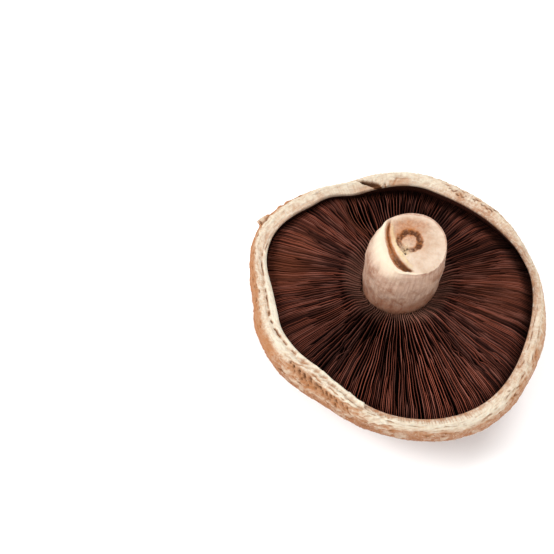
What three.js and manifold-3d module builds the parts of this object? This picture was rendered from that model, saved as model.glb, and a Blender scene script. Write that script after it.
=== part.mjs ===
// A picked portobello mushroom that lies on its cap with the gills up, its stem cut short.
// Millimetres, +Z up. The origin is the centre of the small flat spot that the cap rests on.
// Angles run round the cap's axis in degrees, from +X towards +Y.
import * as THREE from "three";
import { mergeVertices } from "three/addons/utils/BufferGeometryUtils.js";
import Module from "manifold-3d";

// Driving dimensions: the cap.
const CAP_RADIUS = 57.0; // at its widest level, before the lobes
const CAP_LOBES = [ // waves round the cap, their height, and the angle where they peak
  [1, 1.55, 89], [2, 3.58, -49], [3, 1.45, 49], [4, 0.84, -38], [5, 0.85, 0], [6, 0.48, 22], [7, 0.41, -10],
];
const LIP_RADIUS = 49.9; // inner edge of the curled margin
const LIP_LOBES = [
  [1, 1.5, 47], [2, 3.13, -48], [3, 1.9, 38], [4, 0.33, -41], [5, 0.76, 2], [6, 0.68, 21], [7, 0.31, -9],
];
const REST_RADIUS = 12; // the flat spot that it lies on
const WIDEST_Z = 25;
const CREST_Z = 32.4; // top of the curled margin
const CREST_WAVES = [[1, 0.6, 60], [2, 0.7, 20], [3, 0.4, 100]];
const LIP_DROP = 1.9; // the lip hangs this far below the crest
const FLOOR_Z = 19; // where the gills are rooted
const UNDERCUT = 1.6; // how far the margin overhangs the hollow behind it
const UNDERCUT_WAVE = [1, 0.9, 20];

// The gills.
const GILLS = 96; // full ones, with a short one between each two
const GILL_THICK = 0.72;
const BED_THICK = 1.2; // the dark layer that they grow from
const GILL_CLEAR = 0.45; // between the gills and the flesh
const GILL_INNER = 14.8; // from the stem's centre
const GILL_TOP = 28.2; // free edge of the gills at its highest

// The stem.
const STEM_FOOT = [-0.4, 9.8]; // centre at the floor
const STEM_HEAD = [3.5, 9.6]; // centre of the cut end
const STEM_END_Z = 53.6;
const STEM_SUNK = 1.5; // how deep its foot is joined into the cap
const STEM_END_TILT = 8; // the cut faces a little towards -Y
const STEM_PROFILE = [ // radius at a height above the floor
  [13.9, 0], [13.9, 4], [14.2, 7], [14.4, 11], [14.4, 15], [14.3, 19.5], [14.1, 24], [13.8, 27.5],
  [13.2, 30.5], [12.4, 32.8], [11.7, 34.0], [11.1, 34.5],
];
const STEM_OVAL = [2, 0.35, 10];
const END_RING = [[10.4, 0], [8.5, -0.15], [6.3, -0.2], [5.5, -0.9], [3.8, -1.0], [2.9, -0.35], [1.4, -0.2]];

const wave = (list, a) =>
  list.reduce((sum, [n, high, at]) => sum + high * Math.cos(n * (a - (at * Math.PI) / 180)), 0);
const capRadius = (a) => CAP_RADIUS + wave(CAP_LOBES, a);
const lipRadius = (a) => LIP_RADIUS + wave(LIP_LOBES, a);
const crestZ = (a) => CREST_Z + wave(CREST_WAVES, a);
const wallRadius = (a) => lipRadius(a) + UNDERCUT + wave([UNDERCUT_WAVE], a);

const wasm = await Module();
wasm.setup();

// A geometry as a solid, and a solid as a geometry.
function solid(geometry) {
  const bare = geometry.index ? geometry.toNonIndexed() : geometry.clone();
  bare.deleteAttribute("normal");
  bare.deleteAttribute("uv");
  const merged = mergeVertices(bare, 1e-4);
  return new wasm.Manifold(new wasm.Mesh({
    numProp: 3,
    vertProperties: merged.attributes.position.array,
    triVerts: new Uint32Array(merged.index.array),
  }));
}
function geometryOf(made) {
  const mesh = made.getMesh();
  const geometry = new THREE.BufferGeometry();
  geometry.setAttribute("position", new THREE.BufferAttribute(new Float32Array(mesh.vertProperties), 3));
  geometry.setIndex(new THREE.BufferAttribute(new Uint32Array(mesh.triVerts), 1));
  const facets = geometry.toNonIndexed();
  facets.computeVertexNormals();
  return facets;
}

// A turned solid whose points are moved: place(j, a) gives [x, y, z] of profile point j at angle a.
function turned(points, steps, place) {
  const flat = Array.from({ length: points }, (_, j) =>
    new THREE.Vector2(j === 0 || j === points - 1 ? 0 : 1, j));
  const geometry = new THREE.LatheGeometry(flat, steps);
  const position = geometry.attributes.position;
  for (let i = 0; i <= steps; i++)
    for (let j = 0; j < points; j++)
      position.setXYZ(i * points + j, ...place(j, ((i % steps) / steps) * 2 * Math.PI));
  return geometry;
}

// The cap: skin from the flat spot up to the widest level, over the margin, under it and down to the floor.
const SKIN_STEPS = 9;
const CAP_STEPS = 90;
const capRow = [
  () => [0, 0],
  () => [REST_RADIUS, 0],
];
for (let k = 1; k <= SKIN_STEPS; k++) {
  const t = (k / SKIN_STEPS) * (Math.PI / 2);
  capRow.push((a) => [
    REST_RADIUS + (capRadius(a) - REST_RADIUS) * Math.sin(t),
    WIDEST_Z * (1 - Math.cos(t)),
  ]);
}
// Shares of the way from the widest level to the lip, in and up.
for (const [inward, upward] of [[0.06, 0.45], [0.2, 0.8], [0.42, 1], [0.68, 0.96]])
  capRow.push((a) => [
    capRadius(a) - inward * (capRadius(a) - lipRadius(a)),
    WIDEST_Z + upward * (crestZ(a) - WIDEST_Z),
  ]);
capRow.push((a) => [lipRadius(a) + 0.5, crestZ(a) - 0.9]);
capRow.push((a) => [lipRadius(a), crestZ(a) - LIP_DROP]);
capRow.push((a) => [lipRadius(a) + 0.35, crestZ(a) - LIP_DROP - 1.1]);
capRow.push((a) => [wallRadius(a) - 0.4, crestZ(a) - LIP_DROP - 2.3]);
capRow.push((a) => [wallRadius(a), crestZ(a) - LIP_DROP - 4.6]);
capRow.push((a) => [wallRadius(a), FLOOR_Z]);
capRow.push(() => [24, FLOOR_Z]);
capRow.push(() => [0, FLOOR_Z]);
const cap = turned(capRow.length, CAP_STEPS, (j, a) => {
  const [r, z] = capRow[j](a);
  return [r * Math.cos(a), r * Math.sin(a), z];
});

// The stem: a stout foot, widest in its lower third, and a cut end with a shallow ring in it.
const STEM_STEPS = 40;
const STEM_TALL = STEM_END_Z - FLOOR_Z;
const stemRow = [
  [0, -STEM_SUNK], [STEM_PROFILE[0][0], -STEM_SUNK], ...STEM_PROFILE,
  ...END_RING.map(([r, dip]) => [r, STEM_TALL + dip]), [0, STEM_TALL - 0.1],
];
const stem = turned(stemRow.length, STEM_STEPS, (j, a) => {
  const [radius, height] = stemRow[j];
  const r = radius * (1 + (wave([STEM_OVAL], a) / 14) * Math.min(1, Math.max(0, height) / 10));
  const x = r * Math.cos(a), y = r * Math.sin(a);
  const up = Math.max(0, height) / STEM_TALL;
  const slant = Math.tan((STEM_END_TILT * Math.PI) / 180) * y * up ** 3;
  return [
    STEM_FOOT[0] + (STEM_HEAD[0] - STEM_FOOT[0]) * up + x,
    STEM_FOOT[1] + (STEM_HEAD[1] - STEM_FOOT[1]) * up + y,
    FLOOR_Z + height + slant,
  ];
});
const capAndStem = solid(cap).add(solid(stem));

// How far it is from the stem's centre to a curve round the cap's axis, along a direction.
function reach(angle, curve) {
  let out = 50;
  for (let i = 0; i < 12; i++) {
    const x = STEM_FOOT[0] + out * Math.cos(angle), y = STEM_FOOT[1] + out * Math.sin(angle);
    out += curve(Math.atan2(y, x)) - Math.hypot(x, y);
  }
  return out;
}

// The layer that the gills are rooted in, and the blades on it.
const BED_STEPS = 64;
const bedOutline = new THREE.Shape(Array.from({ length: BED_STEPS }, (_, i) => {
  const angle = (i / BED_STEPS) * 2 * Math.PI, out = reach(angle, (a) => wallRadius(a) - GILL_CLEAR);
  return new THREE.Vector2(STEM_FOOT[0] + out * Math.cos(angle), STEM_FOOT[1] + out * Math.sin(angle));
}));
bedOutline.holes.push(new THREE.Path(Array.from({ length: BED_STEPS }, (_, i) => {
  const angle = -(i / BED_STEPS) * 2 * Math.PI, r = GILL_INNER - 0.3;
  return new THREE.Vector2(STEM_FOOT[0] + r * Math.cos(angle), STEM_FOOT[1] + r * Math.sin(angle));
})));
const bed = new THREE.ExtrudeGeometry(bedOutline, { depth: BED_THICK, bevelEnabled: false });
bed.translate(0, 0, FLOOR_Z);

let seed = 20731;
const chance = () => (seed = (seed * 16807) % 2147483647) / 2147483647;

let gills = solid(bed);
const blades = [];
for (let i = 0; i < 2 * GILLS; i++) {
  const angle = ((i + 0.25 * (chance() - 0.5)) / (2 * GILLS)) * 2 * Math.PI;
  const lip = reach(angle, lipRadius), end = reach(angle, wallRadius) - GILL_CLEAR - 0.25;
  const full = i % 2 === 0, low = FLOOR_Z + 0.5;
  const start = full ? GILL_INNER : end - (end - GILL_INNER) * (0.4 + 0.2 * chance());
  const top = GILL_TOP + 0.8 * (chance() - 0.5) - (full ? 0 : 0.7);
  const ceiling = crestZ(angle) - LIP_DROP; // the lip's height above the gill's outer end
  const rise = full ? 10 : (lip - 5 - start) * 0.6;
  const edge = full
    ? [[start, low], [start, 24.2], [start + 0.25 * rise, 26.6], [start + rise, top]]
    : [[start, low], [start + 0.5 * rise, 25.4], [start + rise, top]];
  edge.push([lip - 5, top - 0.2], [lip - 0.3, ceiling - 2.6], [end, ceiling - 3.4], [end, low]);
  const side = new THREE.Shape(edge.reverse().map(([x, z]) => new THREE.Vector2(x, z)));
  const blade = new THREE.ExtrudeGeometry(side, { depth: GILL_THICK, bevelEnabled: false });
  blade.translate(0, 0, -GILL_THICK / 2);
  blade.rotateX(Math.PI / 2);
  blade.rotateZ(angle);
  blade.translate(STEM_FOOT[0], STEM_FOOT[1], 0);
  blades.push(solid(blade));
}
gills = wasm.Manifold.union([gills, ...blades]);

function piece(name, made, colour, roughness) {
  const mesh = new THREE.Mesh(
    geometryOf(made),
    new THREE.MeshStandardMaterial({ color: colour, roughness, metalness: 0 }),
  );
  mesh.name = name;
  return mesh;
}

const mushroom = new THREE.Group();
mushroom.add(piece("cap_and_stem", capAndStem, "#d9b692", 0.75));
mushroom.add(piece("gills", gills, "#54291e", 0.9));

export default mushroom;
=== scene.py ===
# A picked portobello mushroom, lying on its cap with the gills up and its stem cut short.
# Sizes are in millimetres where they are named, and MM turns them to metres.
# Angles run round the cap's axis from +X towards +Y.
import math
import bmesh
import bpy
import numpy as np
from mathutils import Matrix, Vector, noise


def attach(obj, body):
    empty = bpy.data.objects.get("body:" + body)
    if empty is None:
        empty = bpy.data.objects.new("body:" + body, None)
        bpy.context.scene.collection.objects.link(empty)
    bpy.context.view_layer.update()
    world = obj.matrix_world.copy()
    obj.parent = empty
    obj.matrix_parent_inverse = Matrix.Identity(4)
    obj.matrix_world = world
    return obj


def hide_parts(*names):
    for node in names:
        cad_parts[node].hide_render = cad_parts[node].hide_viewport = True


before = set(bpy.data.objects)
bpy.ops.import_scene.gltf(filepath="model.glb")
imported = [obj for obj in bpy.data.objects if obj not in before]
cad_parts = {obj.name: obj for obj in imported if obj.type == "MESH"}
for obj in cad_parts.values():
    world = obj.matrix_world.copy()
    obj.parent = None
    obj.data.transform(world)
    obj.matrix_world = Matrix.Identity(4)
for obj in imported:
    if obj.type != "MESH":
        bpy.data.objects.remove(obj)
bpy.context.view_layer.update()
MM = 0.001


# The cap: one piece of firm cream flesh with a thin brown skin over its outside.
# Its margin curls in over the gills, and a torn strip of the veil is left along the left side.
CAP_RADIUS = 56.75
CAP_LOBES = [
    (1, 1.55, 89), (2, 3.58, -49), (3, 1.45, 49), (4, 0.84, -38),
    (5, 0.85, 0), (6, 0.48, 22), (7, 0.41, -10),
]
LIP_RADIUS = 49.9
LIP_LOBES = [
    (1, 1.5, 47), (2, 3.13, -48), (3, 1.9, 38), (4, 0.33, -41),
    (5, 0.76, 2), (6, 0.68, 21), (7, 0.31, -9),
]
# Where the real edge and lip leave those waves: angle, and mm further out.
EDGE_SHIFTS = (
    (0, 0.3), (12, 0.3), (45, -0.2), (60, -0.7), (76, -0.7), (86, 0.4), (96, 0.4), (125, -0.2), (132, -0.7),
    (140, -0.7), (146, 0.0), (154, 0.3), (178, 0.3), (182, 0.6), (188, 1.5), (217, 1.6), (231, 0.5), (245, 0.0),
    (300, 0.0), (315, -0.8), (330, -0.8), (345, 0.0), (350, 0.3), (360, 0.3),
)
LIP_SHIFTS = (
    (0, 0.0), (12, 0.0), (18, -0.6), (25, -0.6), (32, -1.1), (70, -1.1), (80, 0.0), (100, 0.0), (105, -0.6),
    (111, -0.6), (117, 1.0), (122, 1.0), (129, -1.0), (139, -1.0), (150, 0.0), (160, 0.9), (166, 0.9),
    (176, 0.0), (189, 0.0), (196, 0.8), (214, 0.8), (226, 0.0), (360, 0.0),
)
CREST_Z = 32.2  # top of the curled margin
CREST_WAVES = [(1, 0.6, 60), (2, 0.7, 20), (3, 0.4, 100)]
REST_RADIUS = 12  # the flat spot that it lies on
WIDEST_Z = 25
LIP_DROP = 1.9  # the lip hangs this far below the crest
FLOOR_Z = 19  # where the gills are rooted
UNDERCUT = 1.6  # how far the margin overhangs the hollow behind it
UNDERCUT_WAVE = [(1, 0.9, 20)]
RIM_RADIUS, CREST_RADIUS, SIDE_RADIUS = 55, 56, 57  # that marks and relief on the margin are laid out on
CAP_STEPS_ROUND = 780


def waves(terms, around):
    """Adds up waves round the cap: each is (how many, height, angle of its peak in degrees)."""
    return sum(high * np.cos(n * (around - math.radians(at))) for n, high, at in terms)


def by_angle(around, shifts):
    """Reads a table of small shifts by angle, softened over a few degrees."""
    at, far = zip(*shifts)
    return sum(np.interp((np.degrees(around) + turn) % 360, at, far) for turn in (-3, -1.5, 0, 1.5, 3)) / 5


def cap_radius(around):
    return CAP_RADIUS + waves(CAP_LOBES, around) + by_angle(around, EDGE_SHIFTS)


def lip_radius(around):
    return LIP_RADIUS + waves(LIP_LOBES, around) + by_angle(around, LIP_SHIFTS)


def wall_radius(around):
    return lip_radius(around) + UNDERCUT + waves(UNDERCUT_WAVE, around)


def crest_height(around):
    return CREST_Z + waves(CREST_WAVES, around)


def smooth(low, high, value):
    """0 below low and 1 above high, with a soft change between; low may be above high."""
    share = np.clip((value - low) / (high - low), 0, 1)
    return share * share * (3 - 2 * share)


def grain(points, size, octaves=2, shift=0.0):
    """Smooth random relief of about -1 to 1 at points in mm, with bumps of that size in mm."""
    rows = (points.reshape(-1, 3) / size + shift).tolist()
    made = np.array([noise.fractal(row, 1.0, 2.1, octaves) for row in rows])
    return made.reshape(points.shape[:-1])


def band(value, centre, half, soft):
    """1 inside a band of that half width about centre, fading to 0 over soft."""
    return smooth(half + soft, half, np.abs(value - centre))


def arc(around, start, stop, soft=4.0):
    """1 between two angles in degrees, fading to 0 over soft degrees."""
    middle, half = (start + stop) / 2, (stop - start) / 2
    off = (np.degrees(around) - middle + 180) % 360 - 180
    return smooth(half + soft, half, np.abs(off))


def put(name, data):
    """A new object in the scene with its data."""
    made = bpy.data.objects.new(name, data)
    bpy.context.scene.collection.objects.link(made)
    return made


def grid_mesh(name, points, close_start, close_end):
    """A closed mesh from rings of points (rings, steps, 3) in mm, with a pole at each end."""
    rings, steps = points.shape[:2]
    vertices = (points.reshape(-1, 3) * MM).tolist()
    quads = []
    for ring in range(rings - 1):
        for step in range(steps):
            on = (step + 1) % steps
            quads.append((ring * steps + step, ring * steps + on,
                          (ring + 1) * steps + on, (ring + 1) * steps + step))
    first, last = len(vertices), len(vertices) + 1
    vertices += [(Vector(close_start) * MM)[:], (Vector(close_end) * MM)[:]]
    for step in range(steps):
        on = (step + 1) % steps
        quads.append((first, on, step))
        quads.append((last, (rings - 1) * steps + step, (rings - 1) * steps + on))
    mesh = bpy.data.meshes.new(name)
    mesh.from_pydata(vertices, [], quads)
    mesh.shade_smooth()
    mesh.update()
    return put(name, mesh)


def keep(piece, name, values, poles):
    """Stores a number or a vector for each point of a ring mesh, then one for each pole."""
    flat = np.concatenate([np.asarray(values, float).reshape(-1, *np.shape(poles[0])),
                           np.array(poles, float)])
    kind = "FLOAT_VECTOR" if flat.ndim == 2 else "FLOAT"
    layer = piece.data.attributes.new(name, kind, "POINT")
    layer.data.foreach_set("vector" if flat.ndim == 2 else "value", flat.ravel())


around = np.arange(CAP_STEPS_ROUND) / CAP_STEPS_ROUND * 2 * math.pi
widest, lip, wall, crest = cap_radius(around), lip_radius(around), wall_radius(around), crest_height(around)
flat = np.zeros_like(around)
rows = [(flat + 2, flat), (flat + 7, flat), (flat + REST_RADIUS, flat)]
SKIN_ROWS = 9
for k in range(1, SKIN_ROWS + 1):
    turn = k / SKIN_ROWS * math.pi / 2
    rows.append((REST_RADIUS + (widest - REST_RADIUS) * math.sin(turn),
                 flat + WIDEST_Z * (1 - math.cos(turn))))
WIDEST_ROW = len(rows) - 1
for inward, upward in ((0.06, 0.45), (0.2, 0.8), (0.42, 1.0), (0.68, 0.96)):  # shares of the way to the lip
    rows.append((widest - inward * (widest - lip), WIDEST_Z + upward * (crest - WIDEST_Z)))
CREST_ROW = WIDEST_ROW + 3
rows += [(lip + 0.5, crest - 0.9), (lip, crest - LIP_DROP), (lip + 0.35, crest - LIP_DROP - 1.1),
         (wall - 0.4, crest - LIP_DROP - 2.3), (wall, crest - LIP_DROP - 4.6), (wall, flat + FLOOR_Z + 0.6),
         (wall - 3, flat + FLOOR_Z - 0.5), (flat + 24, flat + FLOOR_Z - 0.5), (flat + 6, flat + FLOOR_Z - 0.5)]
LIP_ROW = CREST_ROW + 3
corners = np.array(rows)  # rows, (radius, height), steps round

# Places along the rows, close together where the margin curls: up to a row, each is cut in so many parts.
ROW_PARTS = ((3, 3), (WIDEST_ROW, 5), (LIP_ROW + 1, 8), (LIP_ROW + 4, 3), (len(rows), 1))
stops = []
for row in range(len(rows) - 1):
    parts = next(parts for below, parts in ROW_PARTS if row < below)
    stops += [row + part / parts for part in range(parts)]
stops = np.array(stops + [len(rows) - 1.0])


def through(corner_rows, places):
    """A smooth curve through rows of corners, read at places counted in rows."""
    last = len(corner_rows) - 1
    row = np.minimum(places.astype(int), last - 1)
    t = (places - row)[:, None, None]
    before, here = corner_rows[np.maximum(row - 1, 0)], corner_rows[row]
    after, beyond = corner_rows[row + 1], corner_rows[np.minimum(row + 2, last)]
    return 0.5 * (2 * here + (after - before) * t
                  + (2 * before - 5 * here + 4 * after - beyond) * t ** 2
                  + (3 * here - before - 3 * after + beyond) * t ** 3)


profile = through(corners, stops)
radius, height = profile[:, 0], np.maximum(profile[:, 1], 0)
round_grid = np.broadcast_to(around, radius.shape)
cap_points = np.stack([radius * np.cos(round_grid), radius * np.sin(round_grid), height], -1)

# Distance over the surface from the crest of the margin: outwards is positive, in mm.
mean_r, mean_z = radius.mean(1), height.mean(1)
along = np.concatenate([[0], np.cumsum(np.hypot(np.diff(mean_r), np.diff(mean_z)))])
along = np.interp(CREST_ROW, stops, along) - along
out = np.broadcast_to(along[:, None], radius.shape)
lip_out = float(np.interp(LIP_ROW, stops, along))


def outward(points):
    """The outward normals of a closed grid of rings."""
    step_round = np.roll(points, -1, 1) - np.roll(points, 1, 1)
    step_along = np.gradient(points, axis=0)
    normal = np.cross(step_round, step_along)
    return normal / np.maximum(np.linalg.norm(normal, axis=-1, keepdims=True), 1e-9)


cap_normals = outward(cap_points)
on_rim = np.stack([RIM_RADIUS * np.cos(round_grid), RIM_RADIUS * np.sin(round_grid), out], -1)
round_rim = on_rim * (1, 1, 0)
degrees = np.degrees(round_grid)


def sector(rise, full, fading, end):
    """1 between the two middle angles and 0 outside the outer ones."""
    return smooth(rise, full, degrees) * smooth(end, fading, degrees)


rim_zone = smooth(-6.5, -4.5, out) * smooth(14, 7, out)
skin_zone = smooth(2, 9, out)
lip_zone = smooth(lip_out + 2.4, lip_out + 0.6, out) * smooth(lip_out - 1.6, lip_out, out)

lumps = 0.42 * grain(cap_points, 13, 2)
wrinkles = 0.20 * grain(on_rim * (0.25, 0.25, 1.0), 1.3, 3, 5.0) * rim_zone
# Sharp little folds all along the margin, strongest at the lower left where it has dried and puckered.
puckered = 0.45 + sum(more * arc(round_grid, start, stop, 8) for more, start, stop in (
    (0.9, 214, 262), (0.4, 130, 200), (0.3, 20, 80), (0.35, 304, 342)))
fold_place = np.stack([on_rim[..., 0] * 0.42, on_rim[..., 1] * 0.42, 0.8 * out + 0.25 * round_grid * RIM_RADIUS], -1)
folds = (0.45 - 2.2 * abs(grain(fold_place, 1.7, 2, 57.0))) * smooth(-5.0, -3.0, out) * smooth(9, 5, out)
folds = np.clip(folds, -0.6, 0.45) * puckered
fibres = 0.12 * grain(on_rim * (1, 1, 0.16), 1.5, 2, 9.0) * smooth(1, 6, out) * smooth(55, 35, out)
pores = 0.13 * grain(cap_points, 1.1, 2, 3.0) * smooth(-5.5, -4, out)
ragged = 0.75 * grain(round_rim, 3.6, 3, 41.0) * lip_zone

# The strip of veil along the left side lies on the inner half of the margin.
# A broken groove parts it from the skin, and it ends in a torn step near the front.
strip_edge = np.interp(degrees, (150, 160, 172, 182, 190, 197, 202, 210, 220, 230, 239, 246, 252, 254),
                       (-3.0, -2.6, -2.1, -1.8, -1.7, -1.9, -2.6, -2.7, -3.0, -3.0, -2.6, -1.6, -1.0, -1.0))
strip_edge = strip_edge + 0.30 * grain(round_rim, 3.0, 2, 2.0)
strip_reach = sector(150, 166, 252.2, 252.8)
strip = strip_reach * smooth(0.25, -0.25, out - strip_edge) * smooth(-6.6, -5.6, out)
broken = smooth(-0.10, 0.10, grain(round_rim, 3.4, 1, 7.0)) * (1 - 0.72 * smooth(208, 218, degrees))
strip_gap = strip_reach * band(out, strip_edge, 0.10, 0.22) * broken
tear_step, after_step = sector(228, 250, 252.2, 252.8), sector(252.2, 253.0, 256, 268)
strip_end = 0.8 * tear_step * smooth(0.2, -0.4, out - strip_edge) * smooth(-6.5, -5.0, out) \
    - 0.45 * after_step * smooth(-0.6, -2.0, out)


def round_from(at, radius):
    """Distance round the cap from an angle, in mm at that radius."""
    return ((degrees - at + 180) % 360 - 180) * math.radians(1) * radius


def stroke(at, far, half_long, half_wide, slant=0.0):
    """1 on a short mark on the margin: its angle, distance out, half sizes in mm, and its turn outwards."""
    along_edge = round_from(at, CREST_RADIUS)
    c, s = math.cos(math.radians(slant)), math.sin(math.radians(slant))
    lengthwise = (along_edge * c + (out - far) * s) / half_long
    sideways = ((out - far) * c - along_edge * s) / half_wide
    return np.exp(-lengthwise ** 4 - sideways ** 2)


# A row of slanting slits in a shallow brown trough at the lower left, where the skin has shrunk.
SLITS = (  # angle, distance out, half length, half width, slant
    (214.8, 1.0, 0.6, 0.28, 60), (216.9, 1.3, 0.8, 0.36, 55), (218.4, 2.8, 0.6, 0.28, 55),
    (220.3, 1.7, 1.5, 0.45, 52), (223.1, 2.1, 1.5, 0.48, 56), (222.6, 3.9, 0.5, 0.35, 50),
    (224.8, 3.4, 0.6, 0.30, 60), (226.4, 2.0, 1.6, 0.55, 54), (226.4, 4.9, 0.5, 0.40, 40),
    (229.9, 2.3, 1.3, 0.70, 30), (229.7, 4.2, 0.7, 0.40, 20), (231.8, 2.3, 0.7, 0.32, 62),
    (233.5, 3.7, 1.1, 0.45, 48), (235.2, 3.2, 1.2, 0.38, 60), (237.5, 3.2, 0.9, 0.40, 50),
    (237.2, 4.8, 0.7, 0.32, 40), (238.9, 2.3, 0.6, 0.28, 60), (240.5, 3.8, 1.0, 0.42, 56),
    (240.5, 6.0, 0.9, 0.38, 48), (243.4, 3.5, 0.9, 0.36, 60), (245.8, 4.4, 0.8, 0.32, 52),
)
slits = np.clip(1.15 * sum(stroke(at, far, 1.15 * long, 1.2 * wide, slant)
                          for at, far, long, wide, slant in SLITS), 0, 1)
trough_line = np.interp(degrees, (212, 219, 226, 246), (0.8, 1.5, 2.6, 3.6)) + 0.5 * grain(round_rim, 7, 1, 8.0)
trough = sector(211, 217, 243, 250) * band(out, trough_line, 1.2, 1.3)
ridges = sum(stroke(at + 1.5, far + 0.1, 1.5, 0.40, slant) for at, far, long, wide, slant in SLITS if long > 0.85)
ridges = ridges + sum(stroke(*mark) for mark in (
    (222, 5.9, 3.6, 0.40, -12), (231, 6.4, 3.5, 0.4, -5), (346.5, -1.6, 3.4, 0.60, 5), (338.0, -1.2, 3.6, 0.70, 8),
    (330.5, 0.3, 2.0, 0.6, -20), (312.8, 1.0, 1.2, 1.0, 40), (326.5, 0.2, 1.4, 0.45, 74), (322.0, -0.8, 1.6, 0.4, 60),
    (317.5, 1.2, 1.4, 0.4, 70), (308.0, 1.8, 1.8, 0.4, 12), (236, 5.6, 2.2, 0.4, 12), (244.4, 5.5, 2.6, 0.45, 24),
    (247.2, 6.6, 2.6, 0.45, -28), (240, 6.6, 1.6, 0.4, 10), (252, 5.2, 2.4, 0.4, 10)))

# The skin's edge beside the strip: a fine wavering seam with a raised side, over the trough.
seam_line = np.interp(degrees, (209, 213.4, 221.7, 229.4, 235.8, 243, 246.2, 251),
                      (-0.4, 0.5, -1.3, -0.1, -0.3, 0.5, 1.2, 1.8)) + 0.35 * grain(round_rim, 2.4, 2, 71.0)
seam_reach = sector(209, 214, 248, 252)
seam = seam_reach * band(out, seam_line, 0.12, 0.3) * smooth(-0.35, 0.1, grain(round_rim, 3.5, 2, 77.0))
seam_side = seam_reach * band(out, seam_line - 0.8, 0.35, 0.5)

# Fine lines across the inner side of the margin, where the veil let go of it.
LINES_RADIUS, LINE_SPACING = 50, 0.95
line_wave = np.cos(round_grid * LINES_RADIUS * 2 * math.pi / LINE_SPACING
                   + 3.5 * grain(on_rim * (1, 1, 0.2), 3.0, 2, 1.0))
lines_zone = sector(252, 262, 292, 306) + 0.45 * arc(round_grid, 97, 122, 4) + 0.25 * arc(round_grid, 310, 345, 8)
lines = lines_zone * band(out, -2.9, 1.9, 0.9) * smooth(0.1, 1.0, line_wave)

# At the top left a flap of the lip has torn away below a gap, painted dark as shade, and two torn points stand beside
# it.
gap_above = np.interp(degrees, (96.6, 97.4, 98.2, 99.5, 101.6, 103.2, 104.8, 106.3, 107.7, 109.5),
                      (-4.9, -3.6, -2.9, -2.2, -1.7, -1.1, -0.2, 1.6, 3.4, 4.6))
gap_below = np.interp(degrees, (96.6, 98.0, 99.5, 101, 102.5, 104.8, 106.3, 107.7, 109.5),
                      (-6.5, -6.2, -5.0, -3.6, -2.6, -1.4, 0.2, 2.0, 3.2))
below_gap = out - gap_below
tear = sector(96.4, 97.2, 109, 111) * smooth(-0.25, 0.15, below_gap) * smooth(0.25, -0.15, out - gap_above)
flap = sector(97.5, 99.5, 117, 124) * smooth(0.2, -0.4, below_gap) * smooth(-8, -6, out)
notch = smooth(0.55, 0.25, abs(degrees - 95.0)) * smooth(-2.6, -4.0, out)
tips = lip_zone * sum(high * np.clip(1 - abs(degrees - at) / half, 0, 1)
                      for at, half, high in ((96.3, 1.2, 1.3), (93.5, 1.1, 0.8)))
fold = stroke(90.6, -2.9, 1.7, 0.35, -58) + stroke(87.4, -2.0, 3.0, 0.28, 2) + 0.6 * stroke(93.0, -3.4, 1.0, 0.3, -60)
fold = np.clip(fold, 0, 1)

# Lifted bits of skin on the outer edge: angle, distance out, half length round, half width, height.
bits, under = np.zeros_like(out), np.zeros_like(out)
for at, far, long, wide, high in (
        (137.6, 3.2, 1.4, 0.7, 0.5), (134.4, 3.6, 1.6, 0.7, 0.5), (129.4, 3.0, 2.4, 0.5, 0.3),
        (68.0, 0.6, 1.6, 0.6, 0.25), (61.0, 0.8, 1.3, 0.5, 0.3), (53.5, 1.0, 1.8, 0.6, 0.25),
        (45.0, 1.6, 1.4, 0.5, 0.25), (24.0, 3.8, 1.5, 0.5, 0.2), (302.0, 3.0, 1.6, 0.6, 0.4),
        (322.0, 2.0, 1.8, 0.7, 0.4), (334.0, 3.0, 1.5, 0.6, 0.4)):
    across, off = round_from(at, SIDE_RADIUS) / long, (out - far) / wide
    bits += high * np.clip(1 - across ** 2 - off ** 2, 0, 1) ** 0.7 * (1 + 0.3 * off)
    # under is the dip below each bit, and it is also painted dark as the bit's shadow.
    under += np.exp(-across ** 2 * 1.2 - ((out - far + 1.4 * wide) / 0.32) ** 2)
# One pointed flake stands up at the left, with a gap under it that is painted dark as its shadow.
flake_along = round_from(147.6, SIDE_RADIUS)
flake = np.clip(1 + flake_along / 5.6, 0, 1) * smooth(0.25, -0.25, flake_along)
flake_height = 2.3 * flake ** 0.7 * band(out, 4.2, 0.9, 0.5) * smooth(-6.0, -4.6, flake_along)
flake_gap = band(out, 2.4, 0.22, 0.35) * smooth(-4.6, -3.8, flake_along) * smooth(-0.3, -1.0, flake_along) \
    + stroke(142.2, 3.0, 0.9, 0.3, 80)
under = np.clip(under + flake_gap, 0, 1)

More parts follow.
